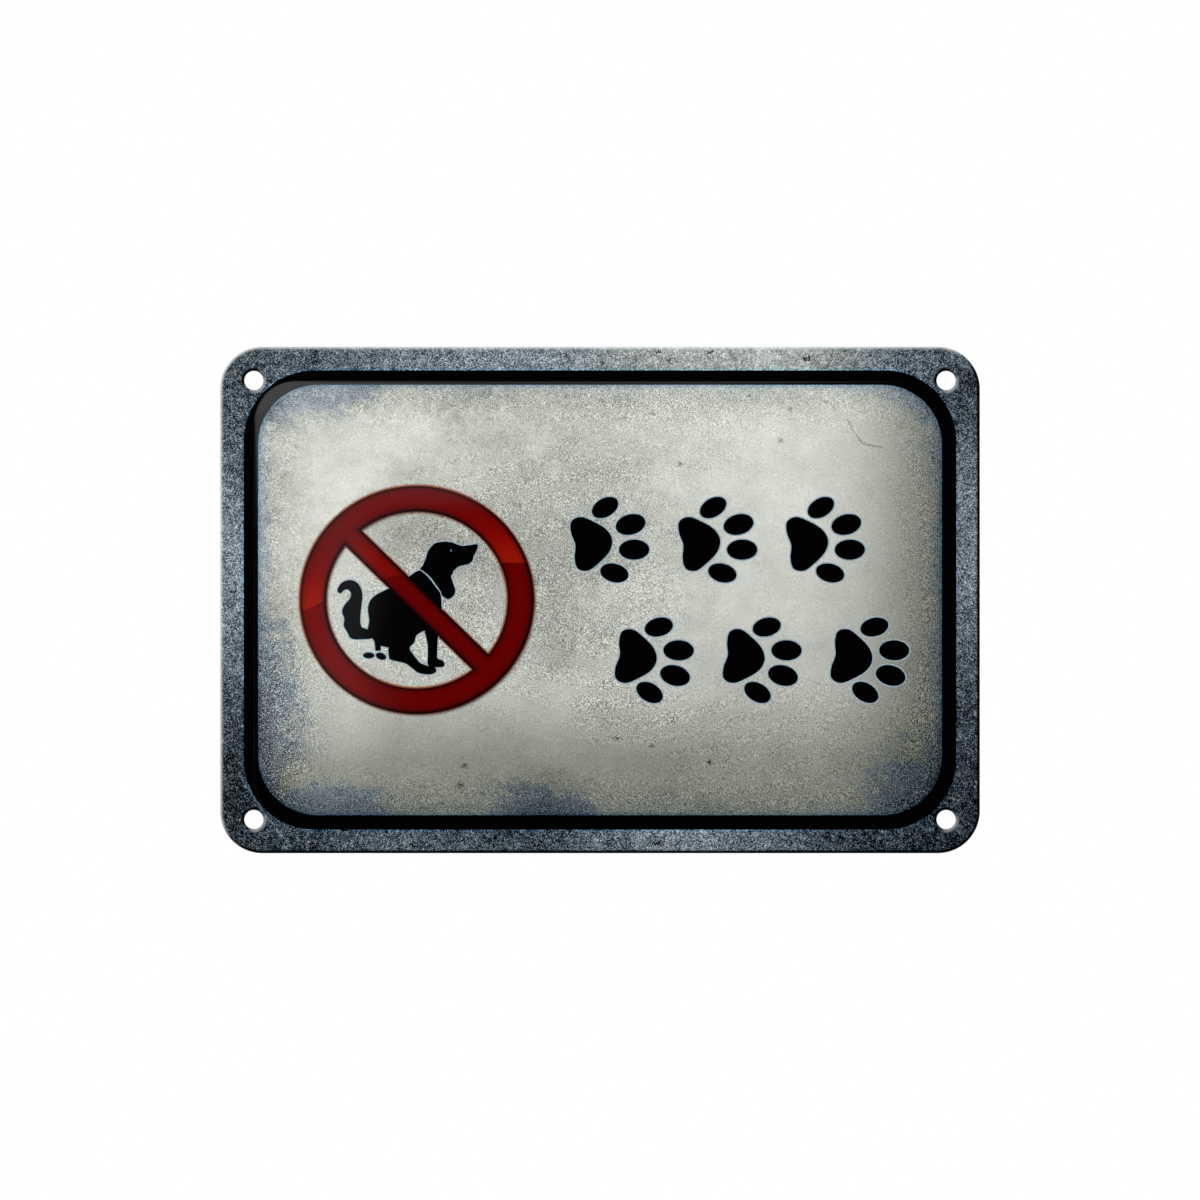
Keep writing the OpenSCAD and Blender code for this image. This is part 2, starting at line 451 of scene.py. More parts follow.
def tones(w, value, stops):
    return w.ramp(value, [(at, (tone, tone, tone, 1.0)) for at, tone in stops])


class Ground:
    """What the worn print follows at each point: its place on the sheet, and patterns of noise."""

    def __init__(self, w):
        self.place, self.x, self.z = millimetres(w)
        self.height = w.divide(w.plus(self.z, HALF_H), PLATE_H)
        self.width = w.divide(w.plus(self.x, HALF_W), PLATE_W)

        self.clouds = w.noise(self.place, scale=0.045, detail=4.0, roughness=0.6)
        self.patches = w.noise(self.place, scale=0.14, detail=5.0, roughness=0.65)
        self.mottle = w.noise(self.place, scale=0.6, detail=4.0, roughness=0.7)
        self.grain = w.noise(self.place, scale=3.8, detail=1.0, roughness=0.8)
        fine = w.plus(w.times(self.patches, 9.0), w.times(self.mottle, 6.0))
        self.ragged = w.plus(w.times(self.clouds, 6.0), fine)
        self.wobble = w.times(self.ragged, 0.05)

        # The rim's print meets the field's below the frame line, and its sides meet at the corners
        self.to_band = into_plate(w, self.x, self.z, BAND_INNER_INSET, BAND_INNER_R)
        self.on_rim = w.fade(self.to_band, -1.4, -1.6)
        self.upper = w.math("GREATER_THAN", self.z, 0.0)
        past = w.minus(w.minus(w.absolute(self.x), HALF_W), w.minus(w.absolute(self.z), HALF_H))
        self.short_share = w.fade(past, -CORNER_BLEND, CORNER_BLEND)


def away_from(w, ground, oval):
    """Distance from the middle of an oval with a ragged edge, where 1 is on its edge."""
    return w.plus(oval_distance(w, ground.place, oval), ground.wobble)


def field_tone(w, ground):
    """The field, palest high up, darker towards its sides and in soft pools."""
    # Paler high up, darker low down: print tone and painted shade of the crown lit from above
    field = tones(w, ground.height, FIELD_TONES)
    right = w.fade(w.plus(ground.x, w.times(ground.ragged, 0.4)), 48.0, 104.0, before=1.0, after=0.2)
    far_left = w.fade(ground.z, 6.0, -28.0, before=0.6, after=0.25)
    left = w.fade(w.plus(ground.x, w.times(ground.ragged, 0.8)), -66.0, -90.0, before=1.0, after=far_left)
    field = w.times(field, w.times(right, left))
    for oval, share in SHADES:
        field = w.times(field, w.fade(away_from(w, ground, oval), 1.0, 0.0, before=1.0, after=share))
    for oval, extra in LIGHTS:
        field = w.plus(field, w.fade(away_from(w, ground, oval), 1.0, 0.0, after=extra))
    blotches = w.times(ground.mottle, w.fade(ground.to_band, 16.0, 0.0, before=0.05, after=0.4))
    uneven = w.plus(w.plus(w.times(ground.clouds, 0.15), w.times(ground.patches, 0.2)), blotches)
    return w.times(field, w.plus(1.0, uneven))


def field_cool(w, ground):
    """How bluish the field is: in some pools, and along the frame line at the sides."""
    away = reduce(w.least, [oval_distance(w, ground.place, oval) for oval in COOL_POOLS])
    pools = w.fade(w.plus(away, w.times(ground.wobble, 2.5)), 0.95, 0.65, after=0.85)
    at_sides = w.fade(w.absolute(ground.x), 46.0, 74.0, before=0.15, after=0.7)
    border = w.fade(w.plus(ground.to_band, w.times(ground.ragged, 0.8)), 3.6, 1.2, after=at_sides)
    return w.most(pools, border)


def rim_tone(w, ground):
    """The rim, with its own lights along each side."""
    top, bottom = tones(w, ground.width, TOP_TONES), tones(w, ground.width, BOTTOM_TONES)
    left, right = tones(w, ground.height, LEFT_TONES), tones(w, ground.height, RIGHT_TONES)
    long_side = w.mix_value(ground.upper, bottom, top)
    short_side = w.mix_value(w.math("GREATER_THAN", ground.x, 0.0), left, right)
    rim = w.minus(w.mix_value(ground.short_share, long_side, short_side), 0.045)
    return w.plus(rim, w.plus(w.times(ground.patches, 0.3), w.times(ground.mottle, 0.55)))


def sunny_stretch(w, ground):
    """The right of the rim's top side, which is warmer and calmer than the rest."""
    on_top = w.times(ground.upper, w.minus(1.0, ground.short_share))
    along = w.times(w.fade(ground.x, -20.0, 20.0), w.fade(ground.x, 72.0, 50.0))
    return w.times(w.times(on_top, along), ground.on_rim)


def grain_strength(w, ground, sunny):
    """Grain is strong on the rim and weaker on the field, with grainy pools."""
    on_field = w.fade(ground.to_band, 14.0, 2.0, before=0.32, after=1.02)
    for oval, extra in GRAINY:
        on_field = w.plus(on_field, w.fade(away_from(w, ground, oval), 1.05, 0.5, after=extra))
    return w.mix_value(ground.on_rim, on_field, w.minus(1.65, w.times(sunny, 0.5)))


def with_marks(w, ground, tone):
    """The print with its flecks, pits, cracks and scratch."""
    away = reduce(w.least, [oval_distance(w, ground.place, fleck) for fleck in FLECKS])
    fleck = w.fade(w.plus(away, w.times(ground.grain, 5.0)), 1.3, 0.6)
    tone = w.minus(tone, w.times(fleck, w.mix_value(ground.on_rim, 0.22, 0.36)))

    pitting = w.noise(ground.place, scale=1.6, detail=2.0, roughness=0.7)
    pit = w.fade(w.plus(pitting, w.times(ground.patches, 0.25)), 0.2, 0.28)
    tone = w.minus(tone, w.times(pit, w.plus(0.12, w.times(ground.on_rim, 0.14))))

    bent_x = w.plus(ground.x, w.times(ground.mottle, 2.5))
    bent_z = w.plus(ground.z, w.times(ground.patches, 3.0))
    away = reduce(w.least, [stroke_distance(w, bent_x, bent_z, stroke) for stroke in CRACKS])
    crack = w.fade(w.plus(away, w.times(ground.grain, 0.6)), 0.35, 0.05)
    tone = w.minus(tone, w.times(crack, 0.14))

    away = reduce(w.least, [stroke_distance(w, bent_x, ground.z, stroke) for stroke in SCRATCHES])
    scratch = w.fade(w.plus(away, w.times(ground.grain, 0.8)), 0.4, 0.05)
    return w.plus(tone, w.times(scratch, 0.22))


def with_line_glow(w, ground, colour):
    """A thin bluish glow on both sides of the frame line."""
    outer = into_plate(w, ground.x, ground.z, BAND_OUTER_INSET, BAND_OUTER_R)
    beside = w.least(w.absolute(ground.to_band), w.absolute(outer))
    glow = w.fade(w.plus(beside, w.times(ground.grain, 0.2)), 1.2, 0.1)
    return w.mix(glow, colour, w.mix(ground.on_rim, FIELD_GLOW, RIM_GLOW), "MULTIPLY")


def with_ring_fringe(w, ground, colour):
    """A brown fringe round the ring, and a soft shadow at its lower right."""
    away = w.plus(ring_distance(w, ground.x, ground.z), w.times(ground.grain, 0.4))
    colour = w.mix(w.fade(away, 0.6, 0.0, after=0.9), colour, RING_FRINGE_AND_HIGHLIGHT)
    shadow = w.fade(shadow_distance(w, ground.x, ground.z), 0.6, -0.6, after=0.85)
    return w.mix(shadow, colour, paint("#390e05"))


def with_turned_edge_painted_light(w, ground, colour):
    """Painted light on the turned edge: a pale painted highlight where it faces the top left, and near black
    painted shade opposite.
    """
    to_edge = into_plate(w, ground.x, ground.z, 0.0, CORNER_R)
    out_x = w.most(w.minus(w.absolute(ground.x), HALF_W - CORNER_R), 0.0)
    out_z = w.most(w.minus(w.absolute(ground.z), HALF_H - CORNER_R), 0.0)
    facing = up_left(w, w.times(out_x, w.math("SIGN", ground.x)), w.times(out_z, w.math("SIGN", ground.z)))
    dark = w.times(w.fade(to_edge, 1.05, 0.45), w.fade(facing, 0.1, -0.4))
    pale = w.times(w.fade(to_edge, 0.95, 0.0, after=0.4), w.fade(facing, 0.0, 0.5))
    return w.mix(pale, w.mix(dark, colour, EDGE_SHADE), paint("#f4f6f8"))


def with_hole_mouths_painted_light(w, ground, colour):
    """Painted light at the mouths of the holes, which turn inwards: near black painted shade at the top left,
    and a pale painted highlight opposite.
    """
    hole_x = w.minus(ground.x, w.times(w.math("SIGN", ground.x), HALF_W - HOLE_INSET))
    hole_z = w.minus(ground.z, w.times(w.math("SIGN", ground.z), HALF_H - HOLE_INSET))
    facing = up_left(w, hole_x, hole_z)
    mouth = w.fade(w.hypotenuse(hole_x, hole_z), HOLE_R + MOUTH_R + 0.6, HOLE_R + MOUTH_R)
    dark = w.times(mouth, w.fade(facing, 0.0, 0.6))
    pale = w.times(mouth, w.fade(facing, -0.1, -0.8, after=0.36))
    return w.mix(pale, w.mix(dark, colour, EDGE_SHADE), paint("#b4bac0"))


def ground_print():
    """Worn concrete in print, with painted shade and highlights: a pale warm grey field, dark and cool at its
    edges and on the rim.
    """
    material, w = new_material("grunge_print_and_painted_light")
    ground = Ground(w)
    cool = field_cool(w, ground)
    sunny = sunny_stretch(w, ground)
    field = w.times(field_tone(w, ground), w.minus(1.0, w.times(cool, 0.08)))
    tone = w.mix_value(ground.on_rim, field, rim_tone(w, ground))
    tone = w.plus(tone, w.times(ground.grain, grain_strength(w, ground, sunny)))
    tone = with_marks(w, ground, tone)
    colour = as_seen(w, tone, w.minus(w.most(cool, ground.on_rim), w.times(sunny, 0.7)))
    for finish in (with_line_glow, with_ring_fringe, with_turned_edge_painted_light, with_hole_mouths_painted_light):
        colour = finish(w, ground, colour)
    lacquer(w, colour)
    return material


def black_print():
    """Black ink, a little uneven, as it dries on a grained print."""
    material, w = new_material("black_ink")
    uneven = w.noise(millimetres(w)[0], scale=1.2, detail=4.0, roughness=0.7)
    lacquer(w, w.mix(w.fade(uneven, -0.3, 0.3), paint("#000001"), paint("#040405")))
    return material


def red_gloss(w, x, u, v):
    """The red ink, lighter over its upper part down to a curve."""
    bend = w.times(w.times(u, u), GLOSS_END_BEND)
    end = w.plus(w.plus(GLOSS_END_H, w.times(u, GLOSS_END_SLOPE)), bend)
    over = w.minus(v, end)
    upper = w.ramp(w.divide(over, GLOSS_H), [
        (0.0, paint("#8c1503")), (0.2, paint("#7d0903")), (0.5, paint("#630202")), (1.0, paint("#660303")),
    ])
    on_bar = w.fade(w.hypotenuse(u, v), RING_INNER_R - 0.5, RING_INNER_R - 3.0)
    upper = w.mix(w.times(on_bar, w.fade(over, 10.0, 3.0, after=0.85)), upper, paint("#6d0301"))
    lower = w.mix(w.fade(x, RING_X - 8.0, RING_X - 16.0), paint("#5b0101"), paint("#6a0303"))
    return w.mix(w.fade(over, -0.15, 0.15), lower, upper)


def red_print():
    """Dark red ink, glossier above, with a soft dark outline that is lit at the top left."""
    material, w = new_material("red_ink")
    place, x, z = millimetres(w)
    colour = red_gloss(w, x, w.minus(x, RING_X), w.minus(z, RING_Z))
    mottle = w.noise(place, scale=0.8, detail=3.0, roughness=0.6)
    colour = w.mix(w.fade(mottle, -0.1, 0.4, after=0.25), colour, paint("#4a0202"))

    depth = w.negative(ring_distance(w, x, z))
    colour = w.mix(w.fade(depth, 2.6, 0.6, after=0.22), colour, RED_SHADE)
    colour = w.mix(w.fade(depth, 1.15, 0.2), colour, RED_SHADE)
    # Painted highlight: the ring's edge turns brown where it faces the top left
    facing = w.fade(w.plus(depth, shadow_distance(w, x, z)), 0.0, 0.35)
    lit = w.times(w.fade(depth, 0.3, 0.05, after=0.8), facing)
    lacquer(w, w.mix(lit, colour, RING_FRINGE_AND_HIGHLIGHT))
    return material


def halo_print():
    """The pale bluish outline of the black figures."""
    material, w = new_material("pale_outline")
    grain = w.noise(millimetres(w)[0], scale=1.5, detail=2.0, roughness=0.6)
    lacquer(w, w.mix(w.fade(grain, -0.3, 0.3), paint("#7796a6"), paint("#a2b8c0")))
    return material


def plain_tin():
    """The bare back of the sheet, with the faint streaks of the rolling mill."""
    material, w = new_material("plain_tin")
    place = millimetres(w)[0]
    stretched = w.add("ShaderNodeMapping", Vector=place)
    stretched.inputs["Scale"].default_value = (0.03, 1.0, 1.4)
    streak = w.noise(stretched.outputs[0], scale=1.0, detail=4.0, roughness=0.6)
    stain = w.noise(place, scale=0.05, detail=4.0, roughness=0.6)
    colour = w.mix(w.fade(streak, -0.3, 0.3), paint("#8e9092"), paint("#a7a9aa"))
    colour = w.mix(w.times(w.fade(stain, 0.0, 0.35), 0.3), colour, paint("#7c7b76"))
    relief = w.add("ShaderNodeBump", Strength=0.6, Distance=0.01 * MM, Height=streak)
    dull = w.fade(stain, -0.3, 0.3, before=0.32, after=0.48)
    shader = w.add("ShaderNodeBsdfPrincipled", Base_Color=colour, Roughness=dull, Normal=relief.outputs[0])
    shader.inputs["Metallic"].default_value = 0.85
    w.surface(shader)
    return material


def cut_steel():
    """The bare cut edge of the sheet."""
    material, w = new_material("cut_edge")
    grain = w.noise(millimetres(w)[0], scale=3.0, detail=2.0, roughness=0.6)
    colour = w.mix(w.fade(grain, -0.3, 0.3), paint("#6f6f70"), paint("#9a9a9a"))
    shader = w.add("ShaderNodeBsdfPrincipled", Base_Color=colour)
    shader.inputs["Roughness"].default_value = 0.4
    shader.inputs["Metallic"].default_value = 0.9
    w.surface(shader)
    return material


# What the press is set to, under the names of its inputs
PRESS_SIZES = {
    "Panel half width": FOOT_A,
    "Panel half height": FOOT_B,
    "Corner radius": PANEL_R,
    "Step height": STEP_H,
    "Step width": STEP_W,
    "Foot width": FOOT_W,
    "Crown height": CROWN_H - INK_LIFT,
}


def step_rise(w, given, into):
    """The step's rise: a hollow at its foot, then a long rounded shoulder."""
    step_h, step_w, foot_w = given["Step height"], given["Step width"], given["Foot width"]
    slope = w.divide(w.times(step_h, 2.0), step_w)
    run = w.most(into, 0.0)
    hollow = w.divide(w.times(slope, w.times(run, run)), w.times(foot_w, 2.0))
    left = w.most(w.minus(step_w, run), 0.0)
    drop = w.divide(w.times(slope, w.times(left, left)), w.times(w.minus(step_w, foot_w), 2.0))
    return w.mix_value(w.math("LESS_THAN", run, foot_w), w.minus(step_h, drop), hollow)


def crown_rise(w, given, x, z, into):
    """The crown's rise: nothing at the sides of the panel and full in its middle."""
    arches = []
    for place, half_size in ((x, given["Panel half width"]), (z, given["Panel half height"])):
        share = w.divide(place, half_size)
        arches.append(w.most(w.minus(1.0, w.times(share, share)), 0.0))
    bulge = w.times(arches[0], arches[1])
    return w.times(w.times(given["Crown height"], bulge), w.fade(into, 0.0, given["Foot width"]))


def press_tool():
    """A tree that presses a flat blank: the step round the panel and the crown over it."""
    tree = bpy.data.node_groups.new("press_tool", "GeometryNodeTree")
    face = tree.interface
    face.new_socket("Blank", in_out="INPUT", socket_type="NodeSocketGeometry")
    face.new_socket("Pressed", in_out="OUTPUT", socket_type="NodeSocketGeometry")
    sockets = {}
    for name in PRESS_SIZES:
        sockets[name] = face.new_socket(name, in_out="INPUT", socket_type="NodeSocketFloat").identifier
    sockets["Finish"] = face.new_socket("Finish", in_out="INPUT", socket_type="NodeSocketMaterial").identifier

    w = Wiring(tree)
    given = w.add("NodeGroupInput").outputs
    parts = w.add("ShaderNodeSeparateXYZ", Vector=w.add("GeometryNodeInputPosition").outputs[0])
    x, z = parts.outputs[0], parts.outputs[2]
    into = w.negative(w.rounded_box(x, z, given["Panel half width"], given["Panel half height"],
                                    given["Corner radius"]))
    rise = w.plus(step_rise(w, given, into), crown_rise(w, given, x, z, into))
    shift = w.add("ShaderNodeCombineXYZ", Y=w.negative(rise))
    moved = w.add("GeometryNodeSetPosition", Geometry=given["Blank"], Offset=shift.outputs[0])
    solid = w.add("GeometryNodeRealizeInstances", Geometry=moved.outputs[0])
    done = w.add("GeometryNodeSetMaterial", Geometry=solid.outputs[0], Material=given["Finish"])
    w.add("NodeGroupOutput", Pressed=done.outputs[0])
    return tree, sockets


def pressed(name, blank, finishes, thickness):
    """A flat blank, pressed and given its thickness behind its front, as one closed piece."""
    mesh = bpy.data.meshes.new(name + "_blank")
    mesh.from_pydata([[c * MM for c in point] for point in blank.points], [], blank.faces)
    flat = bpy.data.objects.new(name + "_blank", mesh)
    bpy.context.collection.objects.link(flat)
    for finish in finishes:
        mesh.materials.append(finish)

    tool = flat.modifiers.new("Press", "NODES")
    tool.node_group = PRESS
    for size, value in PRESS_SIZES.items():
        tool[PRESS_SOCKETS[size]] = value * MM
    tool[PRESS_SOCKETS["Finish"]] = finishes[0]
    wall = flat.modifiers.new("Thickness", "SOLIDIFY")
    wall.thickness = thickness * MM
    wall.offset = -1.0
    wall.use_even_offset = True
    wall.material_offset = min(1, len(finishes) - 1)
    wall.material_offset_rim = len(finishes) - 1

    bpy.context.view_layer.update()
    shape = bpy.data.meshes.new_from_object(flat.evaluated_get(bpy.context.evaluated_depsgraph_get()))
    shape.name = name
    bpy.data.objects.remove(flat)
    piece = bpy.data.objects.new(name, shape)
    bpy.context.collection.objects.link(piece)
    for face in shape.polygons:
        face.use_smooth = True
    shape.set_sharp_from_angle(angle=SHARP_ANGLE)
    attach(piece, "root")
    return piece


def rounded_outline(half_w, half_h, radius, arc_steps=24, long_steps=72, short_steps=46):
    """Points of a rounded rectangle, as many at any size, anticlockwise from its top right corner."""
    outline = []
    quarters = [(1, 1), (-1, 1), (-1, -1), (1, -1)]
    centres = [(x * (half_w - radius), z * (half_h - radius)) for x, z in quarters]
    for quarter, (cx, cz) in enumerate(centres):
        nx, nz = centres[(quarter + 1) % 4]
        steps = short_steps if quarter % 2 else long_steps
        for i in range(arc_steps + 1):
            turn = math.radians(90 * (quarter + i / arc_steps))
            outline.append((cx + radius * math.cos(turn), cz + radius * math.sin(turn)))
        rx, rz = radius * math.cos(turn), radius * math.sin(turn)
        for i in range(1, steps):
            outline.append((cx + (nx - cx) * i / steps + rx, cz + (nz - cz) * i / steps + rz))
    return outline


def placed(points, cx, cz, size=1.0, lean=0.0):
    """Points scaled, leaned by an angle in degrees and moved to a middle."""
    turn = math.radians(lean)
    return [(cx + size * (x * math.cos(turn) - z * math.sin(turn)),
             cz + size * (x * math.sin(turn) + z * math.cos(turn))) for x, z in points]


def ellipse(cx, cz, half_w, half_h, lean=0.0, steps=40):
    turns = [2 * math.pi * i / steps for i in range(steps)]
    return placed([(half_w * math.cos(t), half_h * math.sin(t)) for t in turns], cx, cz, lean=lean)


def circle(cx, cz, radius, steps=64):
    return ellipse(cx, cz, radius, radius, steps=steps)


def arc(radius, start, end, steps):
    """Points of an arc about the middle, between two angles in degrees."""
    turns = [math.radians(start + (end - start) * i / steps) for i in range(steps + 1)]
    return [(radius * math.cos(t), radius * math.sin(t)) for t in turns]


def spline(a, b, c, d, t):
    """A value between b and c that runs smoothly through all four."""
    bend = 2 * a - 5 * b + 4 * c - d
    twist = 3 * b - a - 3 * c + d
    return 0.5 * (2 * b + (c - a) * t + bend * t ** 2 + twist * t ** 3)


def curve(points, steps=6):
    """A closed smooth line through given points."""
    line = []
    count = len(points)
    for i in range(count):
        around = [points[(i + k) % count] for k in (-1, 0, 1, 2)]
        for step in range(steps):
            line.append(tuple(spline(*values, step / steps) for values in zip(*around)))
    return line


def sides(loop):
    """The sides of a closed line, each as its two ends."""
    return zip(loop, loop[1:] + loop[:1])


def in_short_steps(loop, longest=1.0):
    """A closed line whose long straight sides are cut up, so that the press can bend them."""
    line = []
    for (ax, az), (bx, bz) in sides(loop):
        count = max(1, math.ceil(math.hypot(bx - ax, bz - az) / longest))
        line += [(ax + (bx - ax) * i / count, az + (bz - az) * i / count) for i in range(count)]
    return line


def grown(loop, by):
    """A closed line moved outwards."""
    area = sum(ax * bz - bx * az for (ax, az), (bx, bz) in sides(loop))
    side = by if area > 0 else -by
    line = []
    for i, (x, z) in enumerate(loop):
        (px, pz), (nx, nz) = loop[i - 1], loop[(i + 1) % len(loop)]
        reach = math.hypot(nx - px, nz - pz) or 1.0
        line.append((x + side * (nz - pz) / reach, z - side * (nx - px) / reach))
    return line


def winding(loop, x, z):
    """How often a closed loop runs round a point."""
    turns = 0
    for (ax, az), (bx, bz) in sides(loop):
        side = (bx - ax) * (z - az) - (bz - az) * (x - ax)
        if az <= z < bz and side > 0:
            turns += 1
        elif bz <= z < az and side < 0:
            turns -= 1
    return turns


def box_distance(x, z, half_w, half_h, radius):
    """Distance out from a rounded rectangle, negative inside it."""
    qx, qz = abs(x) - half_w + radius, abs(z) - half_h + radius
    return math.hypot(max(qx, 0), max(qz, 0)) + min(max(qx, qz), 0) - radius


class Blank:
    """A mesh under construction: points, faces and rings of points that are sewn to each other."""

    def __init__(self):
        self.points = []
        self.faces = []

    def ring(self, outline, y):
        first = len(self.points)
        self.points += [(x, y, z) for x, z in outline]
        return list(range(first, len(self.points)))

    def sew(self, inner, outer):
        """Joins two rings that run the same way, the second outside the first, facing -Y."""
        count = len(inner)
        for i in range(count):
            j = (i + 1) % count
            self.faces.append((inner[i], outer[i], outer[j], inner[j]))

    def lay(self, outlines):
        """Rings from the inside out, each an outline and its depth, with each sewn to the next."""
        rings = [self.ring(outline, y) for outline, y in outlines]
        for inner, outer in zip(rings, rings[1:]):
            self.sew(inner, outer)
        return rings

    def fill(self, rings, keep, loose=()):
        """Fills the flat area between rings with triangles where keep says so, and through loose points."""
        flat, edges, index = [], [], []
        for ring in rings:
            start = len(flat)
            edges += [(start + i, start + (i + 1) % len(ring)) for i in range(len(ring))]
            index += ring
            flat += [Vector((self.points[p][0], self.points[p][2])) for p in ring]
        index += loose
        flat += [Vector((self.points[p][0], self.points[p][2])) for p in loose]
        level = self.points[rings[0][0]][1]
        found, _, triangles, sources, *_ = geometry.delaunay_2d_cdt(flat, edges, [], 0, MERGE_DISTANCE)
        places = []
        for corner, source in zip(found, sources):
            places.append(index[source[0]] if source else len(self.points))
            if not source:
                self.points.append((corner.x, level, corner.y))
        for triangle in triangles:
            (ax, az), (bx, bz), (cx, cz) = [found[i] for i in triangle]
            if keep((ax + bx + cx) / 3, (az + bz + cz) / 3):
                turn = (bx - ax) * (cz - az) - (bz - az) * (cx - ax)
                order = triangle if turn > 0 else triangle[::-1]
                self.faces.append(tuple(places[i] for i in order))


def lay_panel(blank):
    """The panel, from its middle to a narrow brim outside its step. It gives back the brim's ring."""
    top = rounded_outline(FOOT_A - STEP_W, FOOT_B - STEP_W, PANEL_R - STEP_W)
    shares = [(i / CROWN_RINGS) ** CROWN_CROWDING for i in range(1, CROWN_RINGS)]
    outlines = [[(x * share, z * share) for x, z in top] for share in shares]
    insets = [STEP_W - (STEP_W - FOOT_W) * i / SHOULDER_RINGS for i in range(SHOULDER_RINGS)]
    insets += [FOOT_W - FOOT_W * i / FOOT_RINGS for i in range(FOOT_RINGS + 1)] + [-LEAD_IN, -BRIM_W]
    outlines += [rounded_outline(FOOT_A - inset, FOOT_B - inset, PANEL_R - inset) for inset in insets]
    rings = blank.lay([(outline, RIM_Y) for outline in outlines])
    innermost = rings[0]
    middle = len(blank.points)
    blank.points.append((0.0, RIM_Y, 0.0))
    for point, following in sides(innermost):
        blank.faces.append((point, following, middle))
    return rings[-1]


def roll_edge(blank):
    """The edge: half a turn to the back, then the flange. It gives back the ring that it starts from."""
    path = [(FOLD_R + LEAD_IN, RIM_Y)]
    for i in range(FOLD_STEPS + 1):
        turn = math.pi * i / FOLD_STEPS
        path.append((FOLD_R - FOLD_R * math.sin(turn), -FOLD_R - FOLD_R * math.cos(turn)))
    path += [(FOLD_R + LEAD_IN, 0.0), (FOLD_R + FLANGE_W - LEAD_IN, 0.0), (FOLD_R + FLANGE_W, 0.0)]
    return blank.lay([
        (rounded_outline(HALF_W - inset, HALF_H - inset, CORNER_R - inset), y) for inset, y in path
    ])[0]


def draw_hole(blank, cx, cz):
    """One hole: the sheet turns in at its mouth and runs back as a short collar."""
    path = [(HOLE_R + MOUTH_R + LEAD_IN, RIM_Y)]
    for i in range(MOUTH_STEPS + 1):
        turn = math.pi / 2 * i / MOUTH_STEPS
        path.append((HOLE_R + MOUTH_R - MOUTH_R * math.sin(turn), RIM_Y + MOUTH_R - MOUTH_R * math.cos(turn)))
    path.append((HOLE_R, RIM_Y + SHEET_T + COLLAR_H))
    rings = [blank.ring(circle(cx, cz, radius), y) for radius, y in path]
    for outer, inner in zip(rings, rings[1:]):
        blank.sew(inner, outer)
    return rings[0]


def on_flat_rim(x, z):
    """Whether a place is on the rim, clear of the panel, the bend of the edge and the holes."""
    bend = FOLD_R + LEAD_IN
    beyond_panel = box_distance(x, z, FOOT_A + BRIM_W, FOOT_B + BRIM_W, PANEL_R + BRIM_W) >= 0
    inside_bend = box_distance(x, z, HALF_W - bend, HALF_H - bend, CORNER_R - bend) <= 0
    mouth = HOLE_R + MOUTH_R + LEAD_IN
    return beyond_panel and inside_bend and all(math.hypot(x - cx, z - cz) > mouth for cx, cz in HOLES)


def sheet():
    """The whole sheet: crown, step, rim, drawn holes, and the edge rolled to the back."""
    blank = Blank()
    rings = [lay_panel(blank), roll_edge(blank)] + [draw_hole(blank, cx, cz) for cx, cz in HOLES]
    blank.fill(rings, on_flat_rim)
    piece = pressed("printed_sheet", blank, [ground_print(), plain_tin(), cut_steel()], SHEET_T)
    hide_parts(SHEET_NODE)


def ink(name, finish, shapes, windows=(), lift=INK_LIFT, spacing=INK_SPACING):
    """One closed layer of ink that covers every shape but not the windows, pressed with the sheet."""
    blank = Blank()
    level = RIM_Y - lift
    loops = list(shapes) + list(windows)
    rings = [blank.ring(loop, level) for loop in loops]

    def covered(x, z):
        return any(winding(s, x, z) for s in shapes) and not any(winding(s, x, z) for s in windows)

    xs = [x for loop in loops for x, _ in loop]
    zs = [z for loop in loops for _, z in loop]
    near_edge = {(round(x / spacing), round(z / spacing)) for x, z in zip(xs, zs)}
    loose = []
    for i in range(math.ceil(min(xs) / spacing), math.ceil(max(xs) / spacing)):
        for j in range(math.ceil(min(zs) / spacing), math.ceil(max(zs) / spacing)):
            if (i, j) not in near_edge and covered(i * spacing, j * spacing):
                loose.append((i * spacing, j * spacing))
    blank.fill(rings, covered, blank.ring(loose, level))
    pressed(name, blank, [finish], lift + INK_ROOT)


def frame_line():
    """The black line round the panel, as rings, because it crosses the step."""
    blank = Blank()
    outlines = []
    for i in range(BAND_RINGS):
        share = i / (BAND_RINGS - 1)
        inset = BAND_INNER_INSET + (BAND_OUTER_INSET - BAND_INNER_INSET) * share
        radius = BAND_INNER_R + (BAND_OUTER_R - BAND_INNER_R) * share
        outlines.append(rounded_outline(HALF_W - inset, HALF_H - inset, radius, arc_steps=60))
    blank.lay([(outline, RIM_Y - INK_LIFT) for outline in outlines])
    pressed("frame_line", blank, [BLACK], INK_LIFT + INK_ROOT)


def in_ring(points):
    """Places measured from the middle of the ring, as places on the sheet."""
    return [(RING_X + x, RING_Z + z) for x, z in points]


def oval_in_ring(oval, steps=40):
    x, z, *shape = oval
    return ellipse(RING_X + x, RING_Z + z, *shape, steps=steps)


def dog_figure():
    """The squatting dog of the common sign, in black with a pale line round it."""
    parts = [curve(in_ring(part)) for part in (HEAD, EAR, TRUNK, TAIL, STUB, HIND_LEG, FRONT_LEG)]
    parts += [oval_in_ring(dropping) for dropping in DROPPINGS]
    ink("dog_outline", HALO, [grown(part, DOG_HALO_W) for part in parts], lift=HALO_LIFT)
    ink("dog_figure", BLACK, parts)
    details = [oval_in_ring(EYE, steps=20), curve(in_ring(DOG_COLLAR), steps=3)]
    ink("eye_and_collar", HALO, details, lift=INK_LIFT + HALO_LIFT, spacing=FINE_SPACING)


